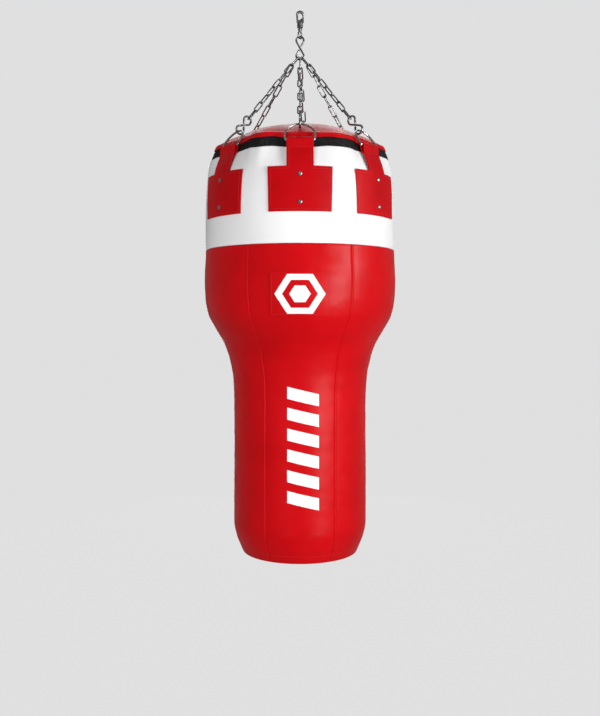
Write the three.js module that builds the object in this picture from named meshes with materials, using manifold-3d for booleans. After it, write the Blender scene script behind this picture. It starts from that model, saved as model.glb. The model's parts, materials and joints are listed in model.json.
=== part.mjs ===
// A hanging uppercut punching bag: a wide head that tapers to a slim lower part, hung by six
// straps, D-rings, S-hooks and chains from one S-hook and a swivel snap hook.
// Millimetres, +Z up. The origin is the point inside the snap hook's crown that hangs on a hanger,
// and the bag's front faces -Y.

import * as THREE from 'three';
import { mergeVertices } from 'three/addons/utils/BufferGeometryUtils.js';
import Module from 'manifold-3d';

const wasm = await Module();
wasm.setup();

// ---- Driving dimensions ----

const GAP = 0.3; // left between pieces that touch
const AROUND = 30; // facets round the bag
const SKIN = 2.4; // thickness of the sewn leather
const STRAP_AZIMUTHS = [0, 51, 129.5, 175, 233.5, 307.5]; // degrees from the front, towards +X
const LEG_NAMES = ['front', 'right_front', 'right_rear', 'rear', 'left_rear', 'left_front'];

// Bag outline midway between two straps, as [radius, z] from the top down.
const LID_TOP = [[90, -289], [125, -297.5], [155, -308], [178, -318], [192, -325.5]];
const SHOULDER = [[202, -334], [210.5, -347], [220, -367.6], [226, -385], [228.5, -400], [229, -416]];
const LOWER_BODY = [
  [229.2, -582], [232.3, -655], [230, -700], [222.5, -737], [203.4, -773], [182.9, -809],
  [170.8, -846], [163.7, -882], [161.1, -918], [160.3, -960], [160.3, -1236], [154.3, -1268],
  [147.5, -1286], [139, -1306],
];
const LID_APEX_Z = -283;
const LID_EDGE_Z = -352;
const LID_OVERLAP = 3.2; // how far the lid stands outside the black band
const LID_WAVE = 12; // how much higher the lid's edge is midway between the straps
const BLACK_TOP_Z = -335;
const BLACK_INSET = 0.4; // how far the black band lies inside the white one
const WHITE_TOP_Z = -366;
const RED_TOP_Z = -582;
const TAPER_Z = [-737, -860]; // where the head ends and the slim body begins
const BOTTOM_Z = -1306;
const FOAM = 30; // thickness of the foam liner
const FOAM_TOP_Z = -418;
const FOAM_OUTSIDE = [
  [224, FOAM_TOP_Z], [225.7, -582], [228.5, -655], [215, -738], [180, -807.5],
  [166.5, -847], [157, -905], [156.5, -1236], [150, -1266], [135.5, -1302.5],
];

// The straps draw the shoulder in: the part of the radius lost on a strap's line.
const PINCH = 0.085;
const PINCH_BOTTOM_Z = -434;
const PINCH_FULL_Z = -355;
const PINCH_EASE_Z = -325;

// Straps and their patches
const STRAP_WIDTH = 60;
const STRAP_THICKNESS = 3;
const PATCH_INNER_RADIUS = 229.6;
const PATCH_HALF_ANGLE = THREE.MathUtils.degToRad(18);
const PATCH_TOP_Z = -413;
const PATCH_BOTTOM_Z = -513;
const STRAP_FOOT = 14; // how far the rising strap runs down onto its patch
const STRAP_TAIL = 24; // how far its free end comes back down from the bar
const RIVET_Z = [-431, -492.7];
const RIVET_SHANK_RADIUS = 2.2;
const RIVET_HOLE = { radius: 2.5, depth: 30 };
const RIVET_HEAD = { radius: 5, shoulder: 4.4, shoulderHeight: 1.4, height: 2.6 };

// D-rings, in the plane of a strap's azimuth: [radius, z]
const BAR_AT = [205, -351.5];
const BOW_AT = [178, -310.9];
const D_RING_WIRE = 2.5; // wire radius
const D_RING_HALF_WIDTH = 33.5;
const D_RING_CORNER = 3.2;
const BAR_CLEARANCE = 0.4;
const BOW_PLAY = 1; // room for the D-ring to tilt in its S-hook

// S-hooks: wire radius, bend radius and the distance between the two bends' centres
const LEG_HOOK = { wire: 2.5, bend: 10, spacing: 33 };
const TOP_HOOK = { wire: 2.3, bend: 9.2, spacing: 38 };
const TOP_HOOK_PLAY = 0.7; // room for it to swing in the swivel's eye
const HOOK_TIP_GAP = 0.6; // between an S-hook's tips and its middle

// Chains
const LINKS_PER_LEG = 7;
const LINK_WIRE = 1.75; // wire radius
const LINK_HALF_WIDTH = 5; // to the wire's centre
const LINK_PLAY = 0.9; // between a chain's last link and its S-hook
const FUSE = 0.1; // how deep neighbouring links of one chain run into each other
const PAIR_LINK_HALF_WIDTH = 6.6;
const PAIR_LINK_PLAY = 0.6;
const PAIR_LINK_PITCH = 26;
const PAIR_LINK_LEAN = THREE.MathUtils.degToRad(40); // of the two outer shared links
const PAIR_LINK_SEAT = THREE.MathUtils.degToRad(47); // where they sit round the S-hook's bend
const LEG_SPREAD = 2.05; // two chains lie side by side in a shared link

// Snap hook
const CROWN_TOP_Z = 9;
const HOOK_HALF_WIDTH = 9.5;
const THROAT_HALF_WIDTH = 4.4;
const THROAT_BOTTOM_Z = -16;
const HOOK_THICKNESS = 8;
const ROOT = { depth: 5, taper: 3 }; // the part of the hook sunk in the barrel
const NOSE_Z = -4.6;
const GATE_PIVOT = [7, -17.4];
const GATE_THICKNESS = 3.4;
const GATE_WIDTH = 4.4;
const GATE_TAPER = 0.4; // taken off the gate's inner side at its tip
const GATE_SLOT = { width: 10, room: 1.2 };
const GATE_PIN = { radius: 1.1, proud: 0.5 };
const PIN_PLAY = 0.08;
const BARREL_RADIUS = 7.2;
const BARREL_TOP_Z = -20.5;
const BARREL_BOTTOM_Z = -35.5;
const BARREL_CHAMFER = [1.6, 2];
const SHANK_RADIUS = 3;
const SHANK_HEAD_RADIUS = 4.6;
const SHANK_HEAD_Z = [-25.5, -28.5];
const COLLAR = { radius: 5.2, height: 4, coneHeight: 3.5, tipRadius: 3.2 };
const EYE_WIRE = 2;
const EYE_RADIUS = 8;
const EYE_BOTTOM_Z = -60.5; // centre of the wire
const EYE_TURN = THREE.MathUtils.degToRad(60); // the eye's plane, from the S-hook's plane

const EMBLEM_SIZE = [133, 98];
const EMBLEM_Z = -693;
const EMBLEM_THICKNESS = 1.2;
const EMBLEM_LIFT = 0.4; // between the emblem and the cover
const PAST_FRONT = 300; // further out than any of the bag

// ---- Materials ----

const material = (color, roughness, metalness) =>
  new THREE.MeshStandardMaterial({ color, roughness, metalness });
const RED_LEATHER = material(0xc40a14, 0.42, 0);
const WHITE_LEATHER = material(0xf2f2f2, 0.42, 0);
const BLACK_WEBBING = material(0x161616, 0.7, 0);
const DARK_STEEL = material(0x4a4b4d, 0.35, 1);
const BRIGHT_STEEL = material(0xb9bcc0, 0.25, 1);
const FOAM_GREY = material(0xb8b8b0, 0.95, 0);
const TEXTILE = material(0x8a8f96, 0.95, 0);

// ---- Solids ----

/** The closed mesh as a solid that can be cut and joined. */
function solidOf(geometry) {
  const bare = geometry.clone();
  bare.deleteAttribute('normal');
  bare.deleteAttribute('uv');
  const welded = mergeVertices(bare);
  return new wasm.Manifold(new wasm.Mesh({
    numProp: 3,
    vertProperties: Float32Array.from(welded.attributes.position.array),
    triVerts: Uint32Array.from(welded.index.array),
  }));
}

function geometryOf(solid) {
  const { vertProperties, triVerts } = solid.getMesh();
  const geometry = new THREE.BufferGeometry();
  geometry.setAttribute('position', new THREE.BufferAttribute(vertProperties, 3));
  geometry.setIndex(new THREE.BufferAttribute(triVerts, 1));
  geometry.computeVertexNormals();
  return geometry;
}

const join = (geometries) =>
  geometryOf(geometries.map(solidOf).reduce((whole, next) => whole.add(next)));

const cut = (geometry, tools) =>
  geometryOf(tools.map(solidOf).reduce((whole, tool) => whole.subtract(tool), solidOf(geometry)));

/** A turned piece about +Z from [radius, z] points that run from its top down its outside. */
function turned(profile, segments = AROUND) {
  const points = profile.map(([r, z]) => new THREE.Vector2(r, z)).reverse();
  return new THREE.LatheGeometry(points, segments).rotateX(Math.PI / 2);
}

/** A turned ring or tube: its outside from the top down, then its inside from the bottom up. */
const turnedRing = (outside, inside, segments) =>
  turned([...outside, ...inside, outside[0]], segments);

/** A curve in the XY plane that runs straight from each given point to the next. */
class WirePath extends THREE.Curve {
  constructor(points, closed) {
    super();
    this.points = points;
    this.spans = closed ? points.length : points.length - 1;
  }

  pointAt(k) {
    const count = this.points.length;
    return this.points[this.spans === count ? (k + count) % count : THREE.MathUtils.clamp(k, 0, count - 1)];
  }

  getPoint(t, target = new THREE.Vector3()) {
    const { x, y } = this.pointAt(Math.round(t * this.spans));
    return target.set(x, y, 0);
  }

  getTangent(t, target = new THREE.Vector3()) {
    const k = Math.round(t * this.spans);
    const step = this.pointAt(k + 1).clone().sub(this.pointAt(k - 1)).normalize();
    return target.set(step.x, step.y, 0);
  }

  getUtoTmapping(u) {
    return u;
  }
}

function arc(x, y, radius, from, to, steps) {
  const point = (k) => {
    const turn = THREE.MathUtils.lerp(from, to, k / steps);
    return new THREE.Vector2(x + radius * Math.cos(turn), y + radius * Math.sin(turn));
  };
  return Array.from({ length: steps + 1 }, (_, k) => point(k));
}

/** Round wire through the points of an open path. */
const bentWire = (points, radius, sides) =>
  new THREE.ExtrudeGeometry(new THREE.Shape(arc(0, 0, radius, 0, 2 * Math.PI, sides).slice(1)), {
    steps: points.length - 1,
    extrudePath: new WirePath(points, false),
    bevelEnabled: false,
  });

/** Round wire through the points of a path that closes on itself. */
const closedWire = (points, radius, sides) =>
  new THREE.TubeGeometry(new WirePath(points, true), points.length, radius, sides, true);

/** Puts a piece drawn in the XY plane at a place: its +Y runs along `up`, and its face along `normal`. */
function placed(geometry, at, up, normal) {
  const y = up.clone().normalize();
  const z = normal.clone().addScaledVector(y, -normal.dot(y)).normalize();
  const x = new THREE.Vector3().crossVectors(y, z);
  return geometry.applyMatrix4(new THREE.Matrix4().makeBasis(x, y, z).setPosition(at));
}

const radial = (azimuth, r, z) => {
  const turn = THREE.MathUtils.degToRad(azimuth);
  return new THREE.Vector3(r * Math.sin(turn), -r * Math.cos(turn), z);
};

const tangent = (azimuth) => radial(azimuth + 90, 1, 0);

// ---- Bag ----

/** How far a strap's pull reaches at this azimuth: 1 by the strap, 0 from 30 degrees to its side. */
function strapPull(azimuth) {
  const offsets = STRAP_AZIMUTHS.map((strapAt) =>
    Math.abs(THREE.MathUtils.euclideanModulo(azimuth - strapAt + 180, 360) - 180));
  return THREE.MathUtils.smoothstep(30 - Math.min(...offsets), 0, 20);
}

/** The part of the radius that the straps take from the shoulder at this height. */
function pinchAt(z) {
  const rise = THREE.MathUtils.smoothstep(z, PINCH_BOTTOM_Z, PINCH_FULL_Z);
  const ease = THREE.MathUtils.smoothstep(z, PINCH_EASE_Z, LID_APEX_Z);
  return PINCH * rise * (1 - ease);
}

/** Draws a turned piece in at the straps, and lets its edge points rise between them. */
function drawnIn(geometry, liftAt = () => 0) {
  const position = geometry.attributes.position;
  for (let i = 0; i < position.count; i += 1) {
    const [x, y, z] = [position.getX(i), position.getY(i), position.getZ(i)];
    const pull = strapPull(THREE.MathUtils.radToDeg(Math.atan2(x, -y)));
    const keep = 1 - pinchAt(z) * pull;
    position.setXYZ(i, x * keep, y * keep, z + liftAt(z) * (1 - pull));
  }
  return geometry;
}

const grown = (profile, by) => profile.map(([r, z]) => [r + by, z]);

/** The shoulder's points below a height, with one added at that height. */
function outlineBelow(top, profile) {
  const next = profile.findIndex(([, z]) => z < top);
  const [[r0, z0], [r1, z1]] = [profile[next - 1], profile[next]];
  const radius = THREE.MathUtils.mapLinear(top, z0, z1, r0, r1);
  return [[radius, top], ...profile.slice(next)];
}

const outlineAbove = (bottom, profile) =>
  outlineBelow(-bottom, [...profile].reverse().map(([r, z]) => [r, -z]))
    .map(([r, z]) => [r, -z])
    .reverse();

const BAG_OUTLINE = [...SHOULDER, ...LOWER_BODY];

const stretch = (top, bottom) => outlineBelow(top, outlineAbove(bottom, BAG_OUTLINE));

const shell = (outline, thickness) =>
  turnedRing(outline, grown(outline, -thickness).reverse());

function blackBand() {
  return drawnIn(shell(grown(stretch(BLACK_TOP_Z, WHITE_TOP_Z + GAP), -BLACK_INSET), SKIN));
}

function rivetHole(azimuth, z) {
  const hole = new THREE.CylinderGeometry(RIVET_HOLE.radius, RIVET_HOLE.radius, RIVET_HOLE.depth, 8);
  const at = radial(azimuth, PATCH_INNER_RADIUS, z);
  return placed(hole, at, radial(azimuth, 1, 0), new THREE.Vector3(0, 0, 1));
}

const rivetHoles = (azimuth) => RIVET_Z.map((z) => rivetHole(azimuth, z));

function whiteBand() {
  const band = drawnIn(shell(stretch(WHITE_TOP_Z, RED_TOP_Z + GAP), SKIN));
  return cut(band, STRAP_AZIMUTHS.flatMap(rivetHoles));
}

/** A length of the red cover. */
const cover = (top, bottom) => shell(stretch(top, bottom), SKIN);

/** The lid's crown and its skirt, whose edge is lowest at the straps. */
function lid() {
  const skirt = grown(outlineAbove(LID_EDGE_Z, SHOULDER), LID_OVERLAP);
  const outside = [[0, LID_APEX_Z], ...LID_TOP, ...skirt];
  const underside = LID_TOP.map(([r, z]) => [r - 1, z - SKIN]);
  const inside = [...grown(skirt, -SKIN).reverse(), ...underside.reverse(), [0, LID_APEX_Z - SKIN]];
  const edgeLift = (z) => LID_WAVE * THREE.MathUtils.smoothstep(-z, 340, -LID_EDGE_Z);
  return drawnIn(turned([...outside, ...inside]), edgeLift);
}

function bottomDisc() {
  const radius = LOWER_BODY.at(-1)[0] - SKIN - GAP;
  return turned([[0, BOTTOM_Z + SKIN], [radius, BOTTOM_Z + SKIN], [radius, BOTTOM_Z], [0, BOTTOM_Z]]);
}

const foamLiner = () => shell(FOAM_OUTSIDE, FOAM);

/** The packed core, crowned under the lid and over the foam's upper edge. */
function filling() {
  const crown = [[0, -291], [86, -297], [120, -308], [170, -330], [190, -341]];
  const shoulder = [[212, -375], [222, -400], [223, FOAM_TOP_Z + GAP]];
  const side = grown(FOAM_OUTSIDE, -FOAM - GAP);
  const step = [side[0][0], FOAM_TOP_Z + GAP];
  return drawnIn(turned([...crown, ...shoulder, step, ...side.slice(1), [0, side.at(-1)[1]]]));
}

/** A thin plate that lies on the bag's front and follows its curve. */
function emblemPatch() {
  const [width, height] = EMBLEM_SIZE;
  const under = grown(stretch(EMBLEM_Z + height, EMBLEM_Z - height), EMBLEM_LIFT);
  const ring = turnedRing(grown(under, EMBLEM_THICKNESS), [...under].reverse());
  const front = new THREE.BoxGeometry(width, PAST_FRONT, height).translate(0, -PAST_FRONT / 2, EMBLEM_Z);
  return geometryOf(solidOf(ring).intersect(solidOf(front)));
}

// ---- Straps, rivets and D-rings ----

/** The curved patch that is riveted to the bag, at the front. */
function strapPatch() {
  const outer = PATCH_INNER_RADIUS + STRAP_THICKNESS;
  const sector = new THREE.Shape();
  const middle = -Math.PI / 2;
  sector.absarc(0, 0, outer, middle - PATCH_HALF_ANGLE, middle + PATCH_HALF_ANGLE, false);
  sector.absarc(0, 0, PATCH_INNER_RADIUS, middle + PATCH_HALF_ANGLE, middle - PATCH_HALF_ANGLE, true);
  return new THREE.ExtrudeGeometry(sector, {
    depth: PATCH_TOP_Z - PATCH_BOTTOM_Z,
    bevelEnabled: false,
    curveSegments: 3,
  }).translate(0, 0, PATCH_BOTTOM_Z);
}

/** The flat strap that rises from the patch, wraps the D-ring's bar and is sewn to itself. */
function strapLoop() {
  const bar = new THREE.Vector2(...BAR_AT);
  const eye = D_RING_WIRE + BAR_CLEARANCE;
  const wrap = eye + STRAP_THICKNESS;
  const foot = new THREE.Vector2(PATCH_INNER_RADIUS + STRAP_THICKNESS, PATCH_TOP_Z);
  const along = bar.clone().sub(foot).normalize();
  const outward = new THREE.Vector2(along.y, -along.x);
  const lean = outward.angle();
  const tailEnd = bar.clone().addScaledVector(along, -STRAP_TAIL);

  const outline = new THREE.Shape();
  outline.moveTo(foot.x, PATCH_TOP_Z - STRAP_FOOT);
  outline.lineTo(foot.x, foot.y);
  outline.absarc(bar.x, bar.y, wrap, lean, lean + Math.PI, false);
  outline.lineTo(tailEnd.x - wrap * outward.x, tailEnd.y - wrap * outward.y);
  outline.lineTo(foot.x - STRAP_THICKNESS, foot.y);
  outline.lineTo(foot.x - STRAP_THICKNESS, PATCH_TOP_Z - STRAP_FOOT);
  outline.holes.push(new THREE.Path().absarc(bar.x, bar.y, eye, 0, 2 * Math.PI, true));
  const band = new THREE.ExtrudeGeometry(outline, {
    depth: STRAP_WIDTH,
    bevelEnabled: false,
    curveSegments: 5,
  }).translate(0, 0, -STRAP_WIDTH / 2);
  return placed(band, new THREE.Vector3(), new THREE.Vector3(0, 0, 1), tangent(180));
}

function strap(azimuth) {
  const whole = join([strapPatch(), strapLoop()]);
  whole.rotateZ(THREE.MathUtils.degToRad(azimuth));
  return cut(whole, rivetHoles(azimuth));
}

function rivet(azimuth, z) {
  const seat = PATCH_INNER_RADIUS + STRAP_THICKNESS + GAP;
  const end = -STRAP_THICKNESS - SKIN - GAP;
  const dome = [[0, RIVET_HEAD.height], [RIVET_HEAD.shoulder, RIVET_HEAD.shoulderHeight]];
  const head = [...dome, [RIVET_HEAD.radius, 0]];
  const shank = [[RIVET_SHANK_RADIUS, 0], [RIVET_SHANK_RADIUS, end], [0, end]];
  const body = turned([...head, ...shank], 8).rotateX(-Math.PI / 2);
  return placed(body, radial(azimuth, seat, z), radial(azimuth, 1, 0), new THREE.Vector3(0, 0, 1));
}

/** A D-ring in the XY plane: its bar's centre at the origin and its bow's apex up +Y. */
function dRingPath() {
  const [dr, dz] = [BOW_AT[0] - BAR_AT[0], BOW_AT[1] - BAR_AT[1]];
  const straight = Math.hypot(dr, dz) - D_RING_HALF_WIDTH;
  const side = D_RING_HALF_WIDTH - D_RING_CORNER;
  return [
    ...arc(side, D_RING_CORNER, D_RING_CORNER, -Math.PI / 2, 0, 2),
    ...arc(0, straight, D_RING_HALF_WIDTH, 0, Math.PI, 8),
    ...arc(-side, D_RING_CORNER, D_RING_CORNER, Math.PI, 1.5 * Math.PI, 2),
  ];
}

function dRing(azimuth) {
  const bar = radial(azimuth, ...BAR_AT);
  const bow = radial(azimuth, ...BOW_AT);
  const out = radial(azimuth, 1, 0);
  return placed(closedWire(dRingPath(), D_RING_WIRE, 6), bar, bow.sub(bar), out);
}

// ---- Hooks and chains ----

/** An S-hook in the XY plane, centred, whose straight tips nearly close on its middle. */
function sHook({ wire, bend, spacing }) {
  const cross = Math.asin((2 * bend) / spacing);
  const reach = (2 * wire + HOOK_TIP_GAP) / Math.sin(2 * cross);
  const tip = new THREE.Vector2(-Math.sin(cross), Math.cos(cross)).multiplyScalar(reach);
  const upper = arc(0, spacing / 2, bend, Math.PI + cross, -cross, 9);
  const lower = arc(0, -spacing / 2, bend, Math.PI - cross, 2 * Math.PI + cross, 9);
  return bentWire([tip, ...upper, ...lower, tip.clone().negate()], wire, 6);
}

/** An oval link in the XY plane, with its upper bend's wire centred on the origin. */
function link(halfWidth, pitch, bendSteps, sides) {
  const reach = pitch + 2 * LINK_WIRE - 2 * halfWidth;
  const upper = arc(0, -halfWidth, halfWidth, 0, Math.PI, bendSteps);
  const lower = arc(0, -halfWidth - reach, halfWidth, Math.PI, 2 * Math.PI, bendSteps);
  return closedWire([...upper, ...lower], LINK_WIRE, sides);
}

const TOP_HOOK_CENTRE_Z =
  EYE_BOTTOM_Z + EYE_WIRE + TOP_HOOK.wire + TOP_HOOK_PLAY - TOP_HOOK.spacing / 2 - TOP_HOOK.bend;
const GATHER_Z = TOP_HOOK_CENTRE_Z - TOP_HOOK.spacing / 2; // centre of the S-hook's lower bend
const LEG_DOWN = new THREE.Vector3(0, 0, -1);
const ACROSS = new THREE.Vector3(0, 1, 0);

const topHook = () =>
  placed(sHook(TOP_HOOK), new THREE.Vector3(0, 0, TOP_HOOK_CENTRE_Z), LEG_DOWN.clone().negate(), ACROSS);

/** Where a shared link hangs: `side` is -1 for the left one, 0 for the middle one, 1 for the right one. */
function pairLinkPlace(side) {
  const seat = TOP_HOOK.bend - TOP_HOOK.wire - LINK_WIRE - PAIR_LINK_PLAY;
  const at = new THREE.Vector3(
    side * seat * Math.sin(PAIR_LINK_SEAT),
    0,
    GATHER_Z - seat * (side === 0 ? 1 : Math.cos(PAIR_LINK_SEAT)),
  );
  const lean = side * PAIR_LINK_LEAN;
  const down = new THREE.Vector3(Math.sin(lean), 0, -Math.cos(lean));
  const normal = new THREE.Vector3(Math.cos(lean), 0, Math.sin(lean));
  return { at, down, normal };
}

function pairLink(side) {
  const { at, down, normal } = pairLinkPlace(side);
  return placed(link(PAIR_LINK_HALF_WIDTH, PAIR_LINK_PITCH, 6, 6), at, down.negate(), normal);
}

/** The centre of a chain's first bend of wire, inside its shared link's lower bend. */
function legStart(azimuth) {
  const outward = radial(azimuth, 1, 0);
  const side = Math.abs(outward.x) < 0.5 ? 0 : Math.sign(outward.x);
  const { at, down } = pairLinkPlace(side);
  const bendCentre = PAIR_LINK_PITCH + 2 * LINK_WIRE - PAIR_LINK_HALF_WIDTH;
  const seat = PAIR_LINK_HALF_WIDTH - 2 * LINK_WIRE - PAIR_LINK_PLAY;
  const depth = Math.sqrt(seat ** 2 - LEG_SPREAD ** 2);
  return at.addScaledVector(down, bendCentre + depth)
    .addScaledVector(ACROSS, Math.sign(outward.y) * LEG_SPREAD);
}

/** One chain leg: its line, the step from link to link and the place of its S-hook. */
function legLayout(azimuth) {
  const start = legStart(azimuth);
  const bow = radial(azimuth, ...BOW_AT);
  const span = bow.distanceTo(start);
  const down = bow.sub(start).normalize();
  const hookLength = LEG_HOOK.spacing + 2 * LEG_HOOK.bend;
  const hookBottom = span + LEG_HOOK.wire + D_RING_WIRE + BOW_PLAY;
  const hookTop = hookBottom - hookLength;
  const lastBend = hookTop + LEG_HOOK.wire + LINK_WIRE + LINK_PLAY;
  const linkStep = (lastBend - 2 * LINK_WIRE + FUSE) / LINKS_PER_LEG;
  const hookAt = start.clone().addScaledVector(down, hookTop + hookLength / 2);
  return { start, down, linkStep, hookAt };
}

function legHook(azimuth) {
  const { hookAt, down } = legLayout(azimuth);
  return placed(sHook(LEG_HOOK), hookAt, down.negate(), tangent(azimuth));
}

/** The links turn a quarter each, and a little more, from the shared link to the S-hook. */
function chain(azimuth) {
  const { start, down, linkStep } = legLayout(azimuth);
  const first = ACROSS.clone().addScaledVector(down, -ACROSS.dot(down)).normalize();
  const last = new THREE.Vector3().crossVectors(down, tangent(azimuth)).normalize();
  const turn = Math.atan2(new THREE.Vector3().crossVectors(first, last).dot(down), first.dot(last));
  const extra = turn - Math.PI * Math.round(turn / Math.PI);
  const twist = Math.PI / 2 + extra / (LINKS_PER_LEG - 1);
  const links = Array.from({ length: LINKS_PER_LEG }, (_, k) => placed(
    link(LINK_HALF_WIDTH, linkStep - FUSE, 4, 4),
    start.clone().addScaledVector(down, k * linkStep),
    down.clone().negate(),
    first.clone().applyAxisAngle(down, k * twist),
  ));
  return join(links);
}

// ---- Snap hook and swivel ----

/** A flat outline in the XZ plane given a thickness along Y, centred. */
const plate = (shape, thickness) =>
  new THREE.ExtrudeGeometry(shape, { depth: thickness, bevelEnabled: false, curveSegments: 6 })
    .translate(0, 0, -thickness / 2)
    .rotateX(Math.PI / 2);

/** The hook's side view: a crown over the throat, open at the nose, on a solid root. */
function hookOutline() {
  const crownCentre = CROWN_TOP_Z - HOOK_HALF_WIDTH;
  const root = BARREL_TOP_Z - ROOT.depth;
  const outline = new THREE.Shape();
  outline.moveTo(-HOOK_HALF_WIDTH + ROOT.taper, root);
  outline.lineTo(HOOK_HALF_WIDTH - ROOT.taper, root);
  outline.lineTo(HOOK_HALF_WIDTH, GATE_PIVOT[1]);
  outline.lineTo(HOOK_HALF_WIDTH, THROAT_BOTTOM_Z + THROAT_HALF_WIDTH);
  outline.absarc(0, THROAT_BOTTOM_Z + THROAT_HALF_WIDTH, THROAT_HALF_WIDTH, 0, Math.PI, true);
  outline.absarc(0, -THROAT_HALF_WIDTH, THROAT_HALF_WIDTH, Math.PI, 0, true);
  outline.lineTo(THROAT_HALF_WIDTH, NOSE_Z);
  outline.lineTo(HOOK_HALF_WIDTH, NOSE_Z);
  outline.absarc(0, crownCentre, HOOK_HALF_WIDTH, 0, Math.PI, false);
  return outline;
}

const crossPin = (radius, length) =>
  new THREE.CylinderGeometry(radius, radius, length, 10).translate(GATE_PIVOT[0], 0, GATE_PIVOT[1]);

function snapHook() {
  const barrel = turned([
    [0, BARREL_TOP_Z],
    [BARREL_RADIUS, BARREL_TOP_Z],
    [BARREL_RADIUS, BARREL_BOTTOM_Z + BARREL_CHAMFER[1]],
    [BARREL_RADIUS - BARREL_CHAMFER[0], BARREL_BOTTOM_Z],
    [0, BARREL_BOTTOM_Z],
  ], 16);
  const [headTop, headBottom] = SHANK_HEAD_Z;
  const pocket = turned([
    [0, headTop + GAP],
    [SHANK_HEAD_RADIUS + GAP, headTop + GAP],
    [SHANK_HEAD_RADIUS + GAP, headBottom - GAP],
    [SHANK_RADIUS + GAP, headBottom - GAP],
    [SHANK_RADIUS + GAP, BARREL_BOTTOM_Z - 1],
    [0, BARREL_BOTTOM_Z - 1],
  ], 16);
  const slotTop = THROAT_BOTTOM_Z + THROAT_HALF_WIDTH + 1;
  const slotBottom = GATE_PIVOT[1] - GATE_WIDTH / 2 - GATE_SLOT.room;
  const slot = new THREE.BoxGeometry(GATE_SLOT.width, GATE_THICKNESS + 2 * GAP, slotTop - slotBottom)
    .translate(GATE_PIVOT[0], 0, (slotTop + slotBottom) / 2);
  const body = join([plate(hookOutline(), HOOK_THICKNESS), barrel]);
  return cut(body, [pocket, slot, crossPin(GATE_PIN.radius + PIN_PLAY, 2 * HOOK_THICKNESS)]);
}

/** The gate: a bar from its pivot up to the nose, rounded about the pin. */
function gate() {
  const [x, z] = GATE_PIVOT;
  const half = GATE_WIDTH / 2;
  const outline = new THREE.Shape();
  outline.moveTo(x + half, z);
  outline.lineTo(x + half, NOSE_Z - GAP);
  outline.lineTo(x - half + GATE_TAPER, NOSE_Z - GAP);
  outline.absarc(x, z, half, Math.PI, 2 * Math.PI, false);
  return cut(plate(outline, GATE_THICKNESS), [crossPin(GATE_PIN.radius + PIN_PLAY, 2 * GATE_THICKNESS)]);
}

const gatePin = () => crossPin(GATE_PIN.radius, HOOK_THICKNESS + 2 * GATE_PIN.proud);

/** The swivel: a headed shank that turns in the barrel, a collar and a round eye. */
function swivelEye() {
  const [headTop, headBottom] = SHANK_HEAD_Z;
  const collarTop = BARREL_BOTTOM_Z - GAP;
  const neck = collarTop - COLLAR.height - COLLAR.coneHeight;
  const shank = turned([
    [0, headTop],
    [SHANK_HEAD_RADIUS, headTop],
    [SHANK_HEAD_RADIUS, headBottom],
    [SHANK_RADIUS, headBottom],
    [SHANK_RADIUS, collarTop],
    [COLLAR.radius, collarTop],
    [COLLAR.radius, collarTop - COLLAR.height],
    [COLLAR.tipRadius, neck],
    [0, neck],
  ], 12);
  const loop = [
    ...arc(0, neck - EYE_RADIUS, EYE_RADIUS, 0, Math.PI, 8),
    ...arc(0, EYE_BOTTOM_Z + EYE_RADIUS, EYE_RADIUS, Math.PI, 2 * Math.PI, 8),
  ];
  const eye = closedWire(loop, EYE_WIRE, 6).rotateX(Math.PI / 2).rotateZ(EYE_TURN);
  return join([shank, eye]);
}

// ---- Assembly ----

const group = new THREE.Group();

function add(name, geometry, finish) {
  const mesh = new THREE.Mesh(geometry, finish);
  mesh.name = name;
  group.add(mesh);
}

add('snap_hook_body', snapHook(), BRIGHT_STEEL);
add('hook_gate', gate(), BRIGHT_STEEL);
add('gate_pin', gatePin(), DARK_STEEL);
add('swivel_eye', swivelEye(), BRIGHT_STEEL);
add('top_s_hook', topHook(), DARK_STEEL);
add('left_shared_link', pairLink(-1), DARK_STEEL);
add('middle_shared_link', pairLink(0), DARK_STEEL);
add('right_shared_link', pairLink(1), DARK_STEEL);

STRAP_AZIMUTHS.forEach((azimuth, k) => {
  const leg = LEG_NAMES[k];
  add(`${leg}_chain`, chain(azimuth), DARK_STEEL);
  add(`${leg}_s_hook`, legHook(azimuth), DARK_STEEL);
  add(`${leg}_d_ring`, dRing(azimuth), BRIGHT_STEEL);
  add(`${leg}_strap`, strap(azimuth), RED_LEATHER);
  add(`${leg}_upper_rivet`, rivet(azimuth, RIVET_Z[0]), BRIGHT_STEEL);
  add(`${leg}_lower_rivet`, rivet(azimuth, RIVET_Z[1]), BRIGHT_STEEL);
});

add('lid', lid(), RED_LEATHER);
add('black_closure_band', blackBand(), BLACK_WEBBING);
add('white_band', whiteBand(), WHITE_LEATHER);
add('head_cover', cover(RED_TOP_Z, TAPER_Z[0] + GAP), RED_LEATHER);
add('taper_cover', cover(TAPER_Z[0], TAPER_Z[1] + GAP), RED_LEATHER);
add('body_cover', cover(TAPER_Z[1], BOTTOM_Z), RED_LEATHER);
add('bottom_disc', bottomDisc(), RED_LEATHER);
add('emblem_patch', emblemPatch(), RED_LEATHER);
add('foam_liner', foamLiner(), FOAM_GREY);
add('textile_filling', filling(), TEXTILE);

export default group;
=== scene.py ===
"""The looks of a hanging uppercut punching bag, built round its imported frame.

Metres, +Z up, the bag's front at -Y. The origin is where the snap hook hangs. Azimuths are in
radians from the front, towards +X. Each function below makes one sub-part or one material.
"""

import json
from math import asin, atan2, copysign, cos, hypot, pi, radians, sin, sqrt

import bmesh
import bpy
import numpy as np
from mathutils import Matrix, Vector, noise


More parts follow.
